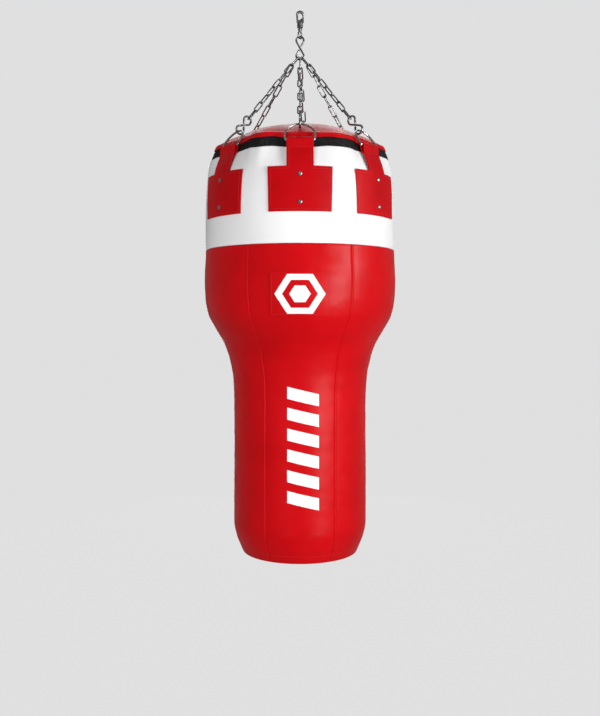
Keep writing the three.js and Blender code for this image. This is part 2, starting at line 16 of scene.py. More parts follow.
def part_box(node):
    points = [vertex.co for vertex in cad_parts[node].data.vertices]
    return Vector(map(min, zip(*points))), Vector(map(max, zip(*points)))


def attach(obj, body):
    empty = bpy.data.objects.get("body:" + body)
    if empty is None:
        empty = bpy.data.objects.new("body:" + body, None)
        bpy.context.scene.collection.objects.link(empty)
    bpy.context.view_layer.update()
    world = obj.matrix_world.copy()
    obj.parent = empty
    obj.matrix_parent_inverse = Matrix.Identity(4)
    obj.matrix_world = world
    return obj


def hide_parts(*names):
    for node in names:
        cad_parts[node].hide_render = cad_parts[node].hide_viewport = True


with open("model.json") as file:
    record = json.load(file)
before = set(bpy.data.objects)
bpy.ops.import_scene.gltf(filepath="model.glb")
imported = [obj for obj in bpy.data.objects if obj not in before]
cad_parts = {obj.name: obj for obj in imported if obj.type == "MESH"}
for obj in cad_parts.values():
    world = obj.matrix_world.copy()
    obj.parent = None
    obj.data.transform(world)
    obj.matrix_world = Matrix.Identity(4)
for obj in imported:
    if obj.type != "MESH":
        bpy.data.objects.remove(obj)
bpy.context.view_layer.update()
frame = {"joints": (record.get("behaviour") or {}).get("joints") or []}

# ---- Sizes ----

SKIN = 0.0024  # thickness of the sewn leather
LEGS = ["front", "right_front", "right_rear", "rear", "left_rear", "left_front"]
SEAMS = [radians(turn) for turn in (-150, -90, -30, 30, 90, 150)]
SEAM_CLEARANCE = 0.075  # from a seam to where the cover's mesh is even again, in radians

# Bag outline midway between two straps, as (z, radius) from the shoulder down.
SHOULDER = [
    (-0.334, 0.202), (-0.347, 0.2095), (-0.3676, 0.2172), (-0.385, 0.2215),
    (-0.4, 0.224), (-0.416, 0.2257), (-0.44, 0.2275), (-0.48, 0.2289),
]
LOWER_BODY = [
    (-0.582, 0.2292), (-0.655, 0.2323), (-0.7, 0.23), (-0.737, 0.2225), (-0.773, 0.2034),
    (-0.809, 0.1829), (-0.846, 0.1708), (-0.882, 0.1637), (-0.918, 0.1611), (-0.96, 0.1603),
    (-1.236, 0.1603), (-1.268, 0.1543), (-1.286, 0.1475), (-1.306, 0.139),
]
# The lid's outline, as (radius, z) from its crown out and down to its edge.
LID_TOP = [
    (0.0, -0.283), (0.09, -0.289), (0.125, -0.2975), (0.155, -0.308), (0.178, -0.318), (0.192, -0.3255),
]
LID_SKIRT = [(0.2043, -0.334), (0.2122, -0.347), (0.2148, -0.352)]
SKIRT, FOLDS = (0.86, 1.0), (0.45, 0.9)  # the parts of the outline where each sets in
CLEAR_OF_STRAP, WIDE_SPAN = np.radians([3, 11]), np.radians([28, 38])  # angles from the nearest strap
LID_RISE = 0.009  # how much higher the lid's edge is between the straps than at them
LID_WAVE = 0.0045  # how much higher still it rises in a soft peak beside each strap
LID_SIDE_RISE = 0.005  # and in the wide spans at the bag's sides
SKIRT_SLOPE = 0.62  # how far a risen edge draws in, to lie on the black band
WAVE_AT, WAVE_WIDTH = radians(18), radians(7)  # a peak's place from the strap, and its reach
BAND_WAVE, BAND_WAVE_Z = 0.0028, -0.4  # how much the white band's upper edge follows, and from where up
BAND_TUCK = (0.0012, 0.006)  # how deep the white band's lower edge is turned in, and over what height
CREASE_Z = (-0.43, -0.37)  # where the creases under its upper edge set in
TAPE_DEPTH = 0.0006  # how far the black band lies inside the white one
# Each panel seam's relief, as (height, place beside the seam, width): a ridge, a groove and a hollow.
SEAM_SHAPE = [(0.001, 0.0021, 0.0017), (-0.0012, -0.001, 0.0011), (-0.0006, 0, 0.012)]
HEM_DEPTH, HEM_WIDTH = 0.0006, 0.0022  # the groove that the row of stitches above the base pulls
THREAD_LIFT = {"hem": 0.0002, "lid": 0.0003, "strap": 0.0001}  # how high each thread lies on the leather
LID_SEAM_AT = 0.965  # the lid's row of stitches, as a part of its outline

PINCH = 0.085  # the part of the radius that the straps take from the shoulder
PINCH_SETS_IN, PINCH_FADES = (-0.434, -0.355), (-0.325, -0.283)  # the heights between which it does
PULL_REACH, PULL_EASE = radians(30), radians(20)  # how far a strap's pull goes, and its fading part

PATCH_RADIUS = 0.2311  # middle of the strap's leather at the patch's foot
PATCH_LEAN = [(-0.48, 0.2308), (-0.446, 0.2296), (-0.415, 0.2274)]  # and as it leans in: (z, radius)
PATCH_TOP, PATCH_BOTTOM = -0.413, -0.513
PATCH_HALF_WIDTH = 0.0726
PATCH_TAPER = 0.0022  # how much narrower each side is at the bottom
STRAP_HALF_WIDTH = 0.03
STRAP_THICKNESS = 0.0028
STRAP_WRAP = 0.0044  # from the D-ring bar's centre to the middle of the leather
STITCH_INSET = 0.006
STRAP_SEAM_END = 0.1475  # how far up the strap its stitching goes
STRAP_FLAT = (0.1, 0.15)  # how far up the strap it goes over from the bag's curve to flat

RING_WIRE, RING_HALF_WIDTH, RING_CORNER = 0.0025, 0.0335, 0.0032
BOW_FROM_BAR = (-0.027, 0.0406)  # inwards and up
LEG_HOOK = {"wire": 0.0025, "bend": 0.01, "spacing": 0.033}
TOP_HOOK = {"wire": 0.0023, "bend": 0.0092, "spacing": 0.038}
HOOK_TIP_GAP = 0.0006  # from an S-hook's tip to its middle
LINK_WIRE, LINK_HALF_WIDTH, LINKS_PER_LEG = 0.00175, 0.005, 7
LINK_FUSE = 0.0001  # how far each link presses on the next
PAIR_HALF_WIDTH, PAIR_PITCH, PAIR_PLAY = 0.0066, 0.026, 0.0006  # the shared links
PAIR_LEAN, PAIR_SEAT = radians(40), radians(47)
LEG_SPREAD = 0.00205  # sideways, from a shared link's middle to each of its two legs
RING_PLAY, LAST_LINK_PLAY = 0.001, 0.0009  # between a leg's S-hook and the ring, and its last link
WELD_SWELL, WELD_REACH = 0.16, 0.0014  # how much thicker a link's weld is, and over what length

EMBLEM_HALF, EMBLEM_Z = (0.0665, 0.049), -0.693
EMBLEM_THICKNESS, EMBLEM_SEAM_INSET = 0.0017, 0.004
PRINT_THICKNESS, PRINT_LIFT = 0.0003, 0.0002
EMBLEM_MARK = (0.056, 0.05)  # half the hexagon's width, and its height by the same rule
MARKS_TOP, MARKS_BOTTOM = -0.909, -1.172
MARKS_CENTRE, MARKS_HALF_WIDTH, MARKS_SLANT = 0.007, 0.036, -0.24
MARKS_COUNT, MARKS_FILL = 6, 0.58  # the bars, and the part of each pitch that a bar fills
FOAM_THICKNESS, FOAM_DEPTH = 0.029, 0.0052  # the foam, and how deep it lies under the cover's outline
FILLING_DEPTH = 0.037  # and the filling
BASE_SAG = 0.0045  # how far the base's middle hangs down
PIPING_RADIUS, PIPING_WIRE = 0.1374, 0.0016  # the piping sewn in round the base
HEM = 0.017  # from the bottom edge up to its row of stitches

JOINTS = {joint["name"]: joint for joint in frame["joints"]}
BAR = (-JOINTS["front_ring_tilt"]["pos_m"][1], JOINTS["front_ring_tilt"]["pos_m"][2])  # radius, z


# ---- Curves and surfaces ----


def smooth(x, low, high):
    """A soft step from 0 at low to 1 at high."""
    t = np.clip((x - low) / (high - low), 0, 1)
    return t * t * (3 - 2 * t)


def distances(points):
    """How far along the path each of its points is."""
    return np.concatenate([[0], np.cumsum(np.linalg.norm(np.diff(points, axis=0), axis=1))])


def through(points):
    """A smooth function through (x, y) points, with no bumps between them (a monotone cubic)."""
    xs, ys = np.array(sorted(points)).T
    step, slope = np.diff(xs), np.diff(ys) / np.diff(xs)
    product = slope[:-1] * slope[1:]
    total = np.where(product > 0, slope[:-1] + slope[1:], 1)
    inner = np.where(product > 0, 2 * product / total, 0)
    tangent = np.concatenate([slope[:1], inner, slope[-1:]])

    def value(x):
        k = np.clip(np.searchsorted(xs, x) - 1, 0, len(step) - 1)
        t, h = (x - xs[k]) / step[k], step[k]
        start = (1 + 2 * t) * (1 - t) ** 2 * ys[k] + t * (1 - t) ** 2 * h * tangent[k]
        return start + t * t * (3 - 2 * t) * ys[k + 1] + t * t * (t - 1) * h * tangent[k + 1]

    return value


def along(points):
    """A smooth path through points in a plane, as a function of distance from the first one."""
    points = np.array(points, float)
    at = distances(points)
    parts = [through(list(zip(at, column))) for column in points.T]
    return lambda s: np.stack([part(np.asarray(s, float)) for part in parts], -1), at[-1]


def rumple(points, depth, size, seed=0.0):
    """Steady soft noise up to `depth` each way at each point, with features of about this size."""
    flat = (np.reshape(points, (-1, 3)) / size) + [seed, 0, 0]
    values = [noise.noise(Vector(p)) for p in flat]
    return depth * np.reshape(values, np.shape(points)[:-1])


def radial(azimuth, r, z):
    """The point at this azimuth, radius and height."""
    return Vector((r * sin(azimuth), -r * cos(azimuth), z))


def round_the_bag(azimuths, radii, heights):
    """The same for whole grids of points."""
    return np.stack([radii * np.sin(azimuths), -radii * np.cos(azimuths), heights + 0 * azimuths], -1)


def rings_of(count):
    """Even azimuths round the bag, as one row of a grid."""
    return np.linspace(-pi, pi, count, endpoint=False)[None, :]


def turn_from(azimuths, middle):
    """Azimuths measured from a middle line, between -pi and pi."""
    return (azimuths - middle + pi) % (2 * pi) - pi


def azimuth_of(leg):
    """Where a leg's strap, ring and chain are round the bag."""
    x, y, _ = JOINTS[f"{leg}_ring_tilt"]["pos_m"]
    return atan2(x, -y)


def from_straps(azimuths):
    """The angles to all six straps' middle lines."""
    return [np.abs(turn_from(azimuths, azimuth_of(leg))) for leg in LEGS]


def from_strap(azimuths):
    """The angle to the nearest strap's middle line."""
    return np.minimum.reduce(from_straps(azimuths))


def strap_pull(azimuths):
    """How hard the straps draw the leather in: 1 at a strap, and next to nothing midway between two."""
    slack = [1 - smooth(PULL_REACH - offset, 0, PULL_EASE) for offset in from_straps(azimuths)]
    return 1 - np.prod(slack, axis=0)


def strap_wave(azimuths):
    """A soft peak in the lid's and the band's edges at both sides of each strap."""
    return sum(np.exp(-(((offset - WAVE_AT) / WAVE_WIDTH) ** 2)) for offset in from_straps(azimuths))


def pinch(heights):
    """The part of the radius that a strap's full pull takes at each height."""
    return PINCH * smooth(heights, *PINCH_SETS_IN) * (1 - smooth(heights, *PINCH_FADES))


outline = through(SHOULDER + LOWER_BODY)


def seam_relief(azimuths, heights, radii):
    """Each panel seam: the outer panel's edge stands up in a ridge beside a narrow groove."""
    relief = np.zeros(np.broadcast(azimuths, heights).shape)
    for seam in SEAMS:
        away = turn_from(azimuths, seam) * radii * copysign(1, seam)
        for height, place, width in SEAM_SHAPE:
            relief += height * np.exp(-(((away - place) / width) ** 2))
    return relief


def cover_radius(azimuths, heights):
    """The red cover's radius: its outline, its seams, and the slack of leather over a packed filling."""
    radii = outline(heights)
    points = round_the_bag(azimuths, radii, heights)
    slack = rumple(points, 0.0011, (0.09, 0.09, 0.17)) + rumple(points, 0.0004, (0.035, 0.035, 0.02), 7)
    hem = HEM_DEPTH * np.exp(-(((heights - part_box("body_cover")[0].z - HEM) / HEM_WIDTH) ** 2))
    return radii + slack + seam_relief(azimuths, heights, radii) - hem


def band_radius(azimuths, heights):
    """The white band's radius: drawn in by the straps, with short creases under its upper edge."""
    radii = outline(heights) * (1 - pinch(heights) * strap_pull(azimuths))
    points = round_the_bag(azimuths, radii, heights)
    creases = smooth(heights, *CREASE_Z) * rumple(points, 0.0016, (0.02, 0.02, 0.09), 3)
    return radii + creases + rumple(points, 0.0008, (0.08, 0.08, 0.15), 11)


# ---- Mesh building ----


def quads(rows, columns, close_rows=False, close_columns=True):
    """The faces of a grid of points, which may close on itself down the rows and along them."""
    faces = []
    for i in range(rows if close_rows else rows - 1):
        here, below = i * columns, (i + 1) % rows * columns
        for j in range(columns if close_columns else columns - 1):
            k = (j + 1) % columns
            faces.append((here + j, below + j, below + k, here + k))
    return faces


def capped(rows, first, last):
    """Rows of points round an axis, closed by a fan of faces at each end."""
    columns = len(rows[0])
    points = [*np.concatenate(rows), first, last]
    faces = quads(len(rows), columns)
    start = (len(rows) - 1) * columns
    for j in range(columns):
        k = (j + 1) % columns
        faces += [(len(points) - 2, j, k), (start + j, len(points) - 1, start + k)]
    return points, faces


def placed(name, data):
    """A new object in the scene."""
    item = bpy.data.objects.new(name, data)
    bpy.context.scene.collection.objects.link(item)
    return item


def make(name, islands, finish, sharp=40):
    """One object from closed islands of (points, faces). Edges sharper than `sharp` degrees stay crisp."""
    points, faces = [], []
    for island_points, island_faces in islands:
        start = len(points)
        points.extend(map(tuple, island_points))
        faces.extend([start + k for k in face] for face in island_faces)
    mesh = bpy.data.meshes.new(name)
    mesh.from_pydata(points, [], faces)
    loose = bmesh.new()
    loose.from_mesh(mesh)
    bmesh.ops.recalc_face_normals(loose, faces=loose.faces)
    loose.to_mesh(mesh)
    loose.free()
    mesh.shade_smooth()
    mesh.set_sharp_from_angle(angle=radians(sharp))
    mesh.materials.append(finish)
    return placed(name, mesh)


def dress(piece, body, slot, *nodes):
    """Puts the piece on its body, in place of the CAD nodes it stands for; its material slot is not used."""
    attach(piece, body)
    if nodes:
        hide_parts(*nodes)
    return piece


def shell(outer, thickness, inner_every=6, pole=False):
    """A skin round the bag with rolled edges, from rows of outer points that run from its top down.
    With `pole`, the first row is closed on the axis."""
    down = np.gradient(outer, axis=0)
    around = np.roll(outer, -1, axis=1) - np.roll(outer, 1, axis=1)
    normal = np.cross(down, around)
    normal /= np.linalg.norm(normal, axis=-1, keepdims=True)
    down /= np.linalg.norm(down, axis=-1, keepdims=True)
    inner = outer - normal * thickness

    def rim(row, direction, turns):
        middle, half = (outer[row] + inner[row]) / 2, (outer[row] - inner[row]) / 2
        out = down[row] * direction * thickness / 2
        return [middle + half * cos(turn) + out * sin(turn) for turn in turns]

    kept = sorted({0, len(outer) - 1, *range(0, len(outer), inner_every)}, reverse=True)
    turns = np.radians([40, 90, 140])
    rows = [*outer, *rim(-1, 1, turns), *inner[kept]]
    if pole:
        return capped(rows, outer[0].mean(0), inner[0].mean(0))
    rows += rim(0, -1, turns[::-1])
    return list(np.concatenate(rows)), quads(len(rows), outer.shape[1], close_rows=True)


def turned(profile, segments=48):
    """A solid of revolution about +Z from (radius, z) points; its first and last points are on the axis."""
    turns = np.linspace(0, 2 * pi, segments, endpoint=False)
    rows = [round_the_bag(turns, r, z) for r, z in profile[1:-1]]
    return capped(rows, (0, 0, profile[0][1]), (0, 0, profile[-1][1]))


def moved(island, at, up, face):
    """An island drawn in XY, with +Y along `up` and +Z along `face`, at a place."""
    y = Vector(up).normalized()
    z = (Vector(face) - y * Vector(face).dot(y)).normalized()
    basis = Matrix((y.cross(z), y, z)).transposed()
    points, faces = island
    return [basis @ Vector(p) + Vector(at) for p in points], faces


def wire(path, radius, sides=14, closed=False, depth=None):
    """Round wire along an XY path, with domed ends if it is open. `radius` may be one per point, and
    `depth` is the section's half size along Z where it isn't round."""
    path = np.array(path, float)
    radius = np.broadcast_to(radius, len(path)).astype(float)
    if closed:
        tangent = np.roll(path, -1, axis=0) - np.roll(path, 1, axis=0)
    else:
        tangent = np.gradient(path, axis=0)
    tangent /= np.linalg.norm(tangent, axis=1, keepdims=True)
    if not closed:
        dome = np.radians([75, 50, 25])
        start = path[0] - np.outer(np.sin(dome), tangent[0]) * radius[0]
        end = path[-1] + np.outer(np.sin(dome[::-1]), tangent[-1]) * radius[-1]
        path = np.concatenate([start, path, end])
        tangent = np.concatenate([[tangent[0]] * 3, tangent, [tangent[-1]] * 3])
        radius = np.concatenate([np.cos(dome) * radius[0], radius, np.cos(dome[::-1]) * radius[-1]])
    depth = radius if depth is None else radius * depth / radius.max()
    rows = []
    turns = np.linspace(0, 2 * pi, sides, endpoint=False)
    for (x, y), (tx, ty), r, d in zip(path, tangent, radius, depth):
        rows.append(np.stack([x + ty * r * np.cos(turns), y - tx * r * np.cos(turns), d * np.sin(turns)], -1))
    faces = quads(len(rows), sides, close_rows=closed)
    if not closed:
        faces += [tuple(range(sides)), tuple(range((len(rows) - 1) * sides, len(rows) * sides))]
    return list(np.concatenate(rows)), faces


def arc(x, y, radius, start, end, steps):
    """Points on an arc about (x, y), with both ends."""
    turns = np.linspace(start, end, steps + 1)
    return list(np.stack([x + radius * np.cos(turns), y + radius * np.sin(turns)], -1))


def line(a, b, steps):
    """Points from a to b, without the two ends."""
    return list(np.linspace(a, b, steps + 1)[1:-1])


def route(corners, steps):
    """Closely spaced points along the straight lines from corner to corner."""
    return np.concatenate([np.linspace(a, b, steps)[:-1] for a, b in zip(corners, corners[1:])])


def oval(half_width, top, bottom, bend_steps, left_steps, right_steps):
    """A closed path round an upright oval, from its right side over the top."""
    upper = arc(0, top - half_width, half_width, 0, pi, bend_steps)
    lower = arc(0, bottom + half_width, half_width, pi, 2 * pi, bend_steps)
    return [*upper, *line(upper[-1], lower[0], left_steps), *lower, *line(lower[-1], upper[0], right_steps)]


def fused(piece, voxel, rounds=3):
    """Melts a piece's islands into one smooth cast body."""
    remesh = piece.modifiers.new("fuse", "REMESH")
    remesh.mode, remesh.voxel_size, remesh.use_smooth_shade = "VOXEL", voxel, True
    soften = piece.modifiers.new("soften", "SMOOTH")
    soften.factor, soften.iterations = 0.5, rounds
    evaluated = piece.evaluated_get(bpy.context.evaluated_depsgraph_get())
    cast = bpy.data.meshes.new_from_object(evaluated)
    piece.modifiers.clear()
    piece.data = cast
    return piece


# ---- Materials ----


class Finish:
    """A node material round one shader."""

    def __init__(self, name, roughness=0.5, shine=0.5, **shader):
        self.material = bpy.data.materials.new(name)
        self.material.use_nodes = True
        self.tree = self.material.node_tree
        self.shader = self.tree.nodes["Principled BSDF"]
        self.set(self.shader, {"Roughness": roughness, "Specular IOR Level": shine, **shader})
        self.place = self.add("ShaderNodeTexCoord").outputs["Object"]

    @staticmethod
    def set(node, inputs):
        """Sets a node's inputs by name."""
        for key, value in inputs.items():
            node.inputs[key].default_value = value

    def add(self, kind, **inputs):
        """A new node with its inputs set."""
        node = self.tree.nodes.new(kind)
        self.set(node, inputs)
        return node

    def link(self, output, node, key):
        """Joins an output to a node's input."""
        self.tree.links.new(output, node.inputs[key])

    def stretched(self, *scale):
        """Object coordinates multiplied along each axis."""
        mapping = self.add("ShaderNodeMapping", Scale=scale)
        self.link(self.place, mapping, "Vector")
        return mapping.outputs["Vector"]

    def noise(self, scale, detail=4.0, at=None):
        """Cloudy noise, at object coordinates unless others are given."""
        node = self.add("ShaderNodeTexNoise", Scale=scale, Detail=detail)
        self.link(at or self.place, node, "Vector")
        return node.outputs["Fac"]

    def cells(self, scale, feature="F1", at=None):
        """The distance to the middle of each cell."""
        node = self.add("ShaderNodeTexVoronoi", Scale=scale)
        node.feature = feature
        self.link(at or self.place, node, "Vector")
        return node.outputs["Distance"]

    def gloss(self, factor, low, high):
        """Roughness from low to high over the middle of factor's range."""
        node = self.add("ShaderNodeMapRange")
        self.link(factor, node, "Value")
        self.set(node, {"From Min": 0.3, "From Max": 0.7, "To Min": low, "To Max": high})
        self.link(node.outputs["Result"], self.shader, "Roughness")

    def colours(self, factor, stops):
        """The colour along stops of (factor, colour)."""
        ramp = self.add("ShaderNodeValToRGB")
        elements = ramp.color_ramp.elements
        while len(elements) < len(stops):
            elements.new(0.5)
        for element, (position, colour) in zip(elements, stops):
            element.position, element.color = position, (*colour, 1)
        self.link(factor, ramp, "Fac")
        self.link(ramp.outputs["Color"], self.shader, "Base Color")

    def bump(self, *layers):
        """Stacks height layers of (height output, depth in metres, strength)."""
        below = None
        for height, depth, strength in layers:
            node = self.add("ShaderNodeBump", Distance=depth, Strength=strength)
            self.link(height, node, "Height")
            if below:
                self.link(below, node, "Normal")
            below = node.outputs["Normal"]
        self.link(below, self.shader, "Normal")


def leather(name, dark, main, light, roughness, shine=0.3):
    """Coated leather: a fine pebble grain, faint stretched creases, and uneven gloss where it is handled."""
    finish = Finish(name, shine=shine)
    finish.colours(finish.noise(9.0, 3.0), [(0.3, dark), (0.52, main), (0.78, light)])
    finish.gloss(finish.noise(26.0), roughness - 0.06, roughness + 0.08)
    grain = finish.cells(760.0, "SMOOTH_F1")
    weave = finish.noise(1.0, 2.0, finish.stretched(90, 90, 620))
    finish.bump((finish.noise(38.0, 2.0), 0.004, 0.1), (weave, 0.0006, 0.16), (grain, 0.0004, 0.3))
    return finish.material


def closure_tape(name):
    """Black woven tape: fine diagonal ribs and a little lint."""
    finish = Finish(name, roughness=0.82, shine=0.22)
    lint = [(0.35, (0.006, 0.006, 0.007)), (0.62, (0.014, 0.014, 0.015)), (0.85, (0.032, 0.032, 0.034))]
    finish.colours(finish.noise(160.0), lint)
    ribs = finish.cells(620.0, "F1", finish.stretched(1, 1, 1.8))
    finish.bump((finish.noise(60.0), 0.003, 0.25), (ribs, 0.0007, 0.65))
    return finish.material


def steel(name, dark, main, light, roughness, spots=55.0):
    """Plated steel wire: cloudy plating and fine draw marks."""
    finish = Finish(name, Metallic=1.0)
    finish.colours(finish.noise(spots, 6.0), [(0.34, dark), (0.52, main), (0.7, light)])
    finish.gloss(finish.noise(3 * spots), roughness - 0.07, roughness + 0.14)
    finish.bump((finish.noise(420.0, 3.0), 0.0006, 0.22), (finish.noise(2200.0), 0.0002, 0.18))
    return finish.material


def thread(name, colour):
    """Twisted thread."""
    finish = Finish(name, roughness=0.6, shine=0.3)
    finish.colours(finish.noise(900.0), [(0.3, [0.7 * c for c in colour]), (0.7, colour)])
    finish.bump((finish.cells(1800.0), 0.0003, 0.5))
    return finish.material


def print_ink(name):
    """White transfer print: slightly glossier than leather, with the grain showing faintly through."""
    finish = Finish(name, shine=0.35)
    finish.colours(finish.noise(60.0), [(0.3, (0.8, 0.8, 0.8)), (0.7, (0.92, 0.92, 0.92))])
    finish.gloss(finish.noise(45.0), 0.34, 0.44)
    finish.bump((finish.cells(760.0, "SMOOTH_F1"), 0.0003, 0.2))
    return finish.material


def foam_finish():
    """Open foam: pores and a little yellowing."""
    finish = Finish("foam", roughness=0.95, shine=0.1)
    finish.colours(finish.noise(14.0), [(0.3, (0.42, 0.41, 0.36)), (0.7, (0.55, 0.55, 0.5))])
    finish.bump((finish.cells(420.0), 0.002, 0.8))
    return finish.material


def shredded_textile():
    """Packed cloth scraps: patches of faded colour with frayed edges."""
    finish = Finish("textile", roughness=0.95, shine=0.1)
    faded = [(0.05, (0.1, 0.12, 0.16)), (0.35, (0.27, 0.29, 0.32)), (0.8, (0.45, 0.43, 0.4))]
    finish.colours(finish.cells(38.0), faded)
    finish.bump((finish.noise(90.0), 0.006, 0.8), (finish.cells(300.0), 0.002, 0.5))
    return finish.material


RED = leather(
    "red_leather", (0.47, 0.001, 0.003), (0.53, 0.0012, 0.004), (0.57, 0.002, 0.006), 0.36, 0.17,
)
RED_STRAP = leather(
    "strap_leather", (0.4, 0.001, 0.003), (0.455, 0.0012, 0.004), (0.5, 0.0018, 0.005), 0.46, 0.12,
)
WHITE = leather("white_leather", (0.78, 0.78, 0.79), (0.83, 0.83, 0.835), (0.86, 0.86, 0.86), 0.42)
TAPE = closure_tape("closure_tape")
CHAIN_STEEL = steel("chain_steel", (0.12, 0.12, 0.125), (0.3, 0.305, 0.31), (0.58, 0.59, 0.6), 0.32)
RING_STEEL = steel("ring_steel", (0.38, 0.385, 0.39), (0.55, 0.56, 0.57), (0.72, 0.73, 0.74), 0.2)
ZINC = steel("zinc_steel", (0.13, 0.13, 0.135), (0.31, 0.315, 0.32), (0.58, 0.59, 0.6), 0.36, 80.0)
RIVET_STEEL = steel("rivet_steel", (0.26, 0.265, 0.27), (0.39, 0.4, 0.41), (0.54, 0.55, 0.56), 0.32)
RED_THREAD = thread("red_thread", (0.62, 0.02, 0.025))
INK = print_ink("white_print")


# ---- Camera and room ----

EYE_DISTANCE, EYE_HEIGHT = 2.08, -0.7586
EYE_LENS, EYE_SHIFT = 42.74, -0.0475
BACKDROP = 0.745  # linear brightness of the pale room
AMBIENT = 0.215  # the light that the room gives
FLOOR_DROP, FLOOR_SPAN = 0.45, 60  # the floor below the bag, and half its width
FLOOR_SHARE = 0.006  # the part of the light falling on the floor that it gives back


def camera():
    """At the bag's middle height, level, as the object is seen."""
    data = bpy.data.cameras.new("camera")
    data.sensor_width = 36.0
    data.lens = EYE_LENS
    data.shift_y = EYE_SHIFT
    eye = placed("camera", data)
    eye.location = (0, -EYE_DISTANCE, EYE_HEIGHT)
    eye.rotation_euler = (pi / 2, 0, 0)
    bpy.context.scene.camera = eye


def softbox(name, azimuth, distance, height, size, power, aim=-0.75, shines=True):
    """A soft rectangular light at an azimuth from the front, turned to the bag."""
    data = bpy.data.lights.new(name, "AREA")
    data.shape = "RECTANGLE"
    data.size, data.size_y = size
    data.energy = power
    lamp = placed(name, data)
    lamp.location = radial(radians(azimuth), distance, height)
    towards = Vector((0, 0, aim)) - lamp.location
    lamp.rotation_euler = towards.to_track_quat("-Z", "Z").to_euler()
    lamp.visible_glossy = shines


def room():
    """Evenly pale to the eye, while the light it gives is dimmer."""
    world = bpy.data.worlds.new("room")
    world.use_nodes = True
    nodes, links = world.node_tree.nodes, world.node_tree.links
    seen = nodes.new("ShaderNodeBackground")
    light = nodes["Background"]
    pick = nodes.new("ShaderNodeMixShader")
    seen.inputs["Color"].default_value = (BACKDROP, BACKDROP, BACKDROP, 1)
    light.inputs["Color"].default_value = (AMBIENT, AMBIENT, AMBIENT, 1)
    rays = nodes.new("ShaderNodeLightPath")
    links.new(rays.outputs["Is Camera Ray"], pick.inputs["Fac"])
    links.new(light.outputs["Background"], pick.inputs[1])
    links.new(seen.outputs["Background"], pick.inputs[2])
    links.new(pick.outputs["Shader"], nodes["World Output"].inputs["Surface"])
    bpy.context.scene.world = world


def pale_floor():
    """A floor that runs to the horizon, as bright as the room behind it."""
    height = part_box("bottom_disc")[0].z - FLOOR_DROP
    own = BACKDROP - 1.6 * FLOOR_SHARE * AMBIENT
    finish = Finish("pale_floor", roughness=0.9, shine=0.0, **{"Emission Strength": 1.0})
    colours = {"Base Color": (FLOOR_SHARE, FLOOR_SHARE, FLOOR_SHARE, 1), "Emission Color": (own, own, own, 1)}
    finish.set(finish.shader, colours)
    corners = [(x * FLOOR_SPAN, y * FLOOR_SPAN, height) for x, y in ((-1, -1), (1, -1), (1, 1), (-1, 1))]
    floor = make("floor", [(corners, [(0, 1, 2, 3)])], finish.material)
    floor.visible_diffuse = False  # the room's own light reaches the bag instead
    floor.visible_glossy = False


camera()
room()
pale_floor()
softbox("key", azimuth=49, distance=2.6, height=-0.6, size=(0.48, 2.3), power=66)
softbox("front_fill", -24, distance=3.0, height=-1.1, size=(1.3, 1.8), power=56, aim=-0.9, shines=False)
softbox("back_fill", azimuth=180, distance=2.8, height=-0.7, size=(1.6, 2.2), power=56)
softbox("top_fill", azimuth=180, distance=1.4, height=1.1, size=(1.4, 1.4), power=14, aim=-0.3)
bpy.context.scene.view_settings.view_transform = "Standard"


# ---- Bag ----


def seam_azimuths():
    """Azimuths round the bag, close together at each panel seam."""
    one_side = np.array([0.1, 0.35, 0.6, 0.9, 1.2, 1.6, 2.2, 3, 4])
    near = np.radians(np.concatenate([-one_side[::-1], one_side]))
    close = np.concatenate([seam + near for seam in SEAMS])
    even = rings_of(120)[0]
    clear = [turn for turn in even if min(abs(turn_from(turn, seam)) for seam in SEAMS) > SEAM_CLEARANCE]
    return np.sort(np.concatenate([clear, close]))


def red_cover():
    """The red leather from the white band down, as one skin."""
    top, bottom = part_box("head_cover")[1].z - SKIN / 2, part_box("body_cover")[0].z + SKIN / 2
    heights = np.linspace(top, bottom, 150)[:, None]
    azimuths = seam_azimuths()[None, :]
    outer = round_the_bag(azimuths, cover_radius(azimuths, heights), heights)
    piece = make("sewn_red_cover", [shell(outer, SKIN)], RED)
    lengths = ("head_cover", "taper_cover", "body_cover")
    dress(piece, "bag", "red_leather", *lengths)


def white_band():
    """The white leather round the head, turned under where it meets the red."""
    top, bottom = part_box("white_band")[1].z - SKIN / 2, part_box("white_band")[0].z + SKIN / 2
    heights = np.linspace(top, bottom, 60)[:, None]
    azimuths = rings_of(240)
    edge = BAND_TUCK[0] * np.exp(-((heights - bottom) / BAND_TUCK[1]) ** 2)
    lift = BAND_WAVE * strap_wave(azimuths) * smooth(heights, BAND_WAVE_Z, top)
    outer = round_the_bag(azimuths, band_radius(azimuths, heights) - edge, heights + lift)
    piece = make("sewn_white_band", [shell(outer, SKIN)], WHITE)
    dress(piece, "bag", "white_leather", "white_band")


def black_band():
    """The hook-and-loop band between the lid and the white band."""
    top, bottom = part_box("black_closure_band")[1].z + SKIN / 2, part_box("black_closure_band")[0].z + SKIN / 2
    heights = np.linspace(top, bottom, 20)[:, None]
    azimuths = rings_of(240)
    radii = outline(heights) * (1 - pinch(heights) * strap_pull(azimuths)) - TAPE_DEPTH
    radii += rumple(round_the_bag(azimuths, radii, heights), 0.0004, (0.03, 0.03, 0.05), 5)
    piece = make("sewn_black_closure", [shell(round_the_bag(azimuths, radii, heights), SKIN)], TAPE)
    dress(piece, "bag", "black_closure", "black_closure_band")


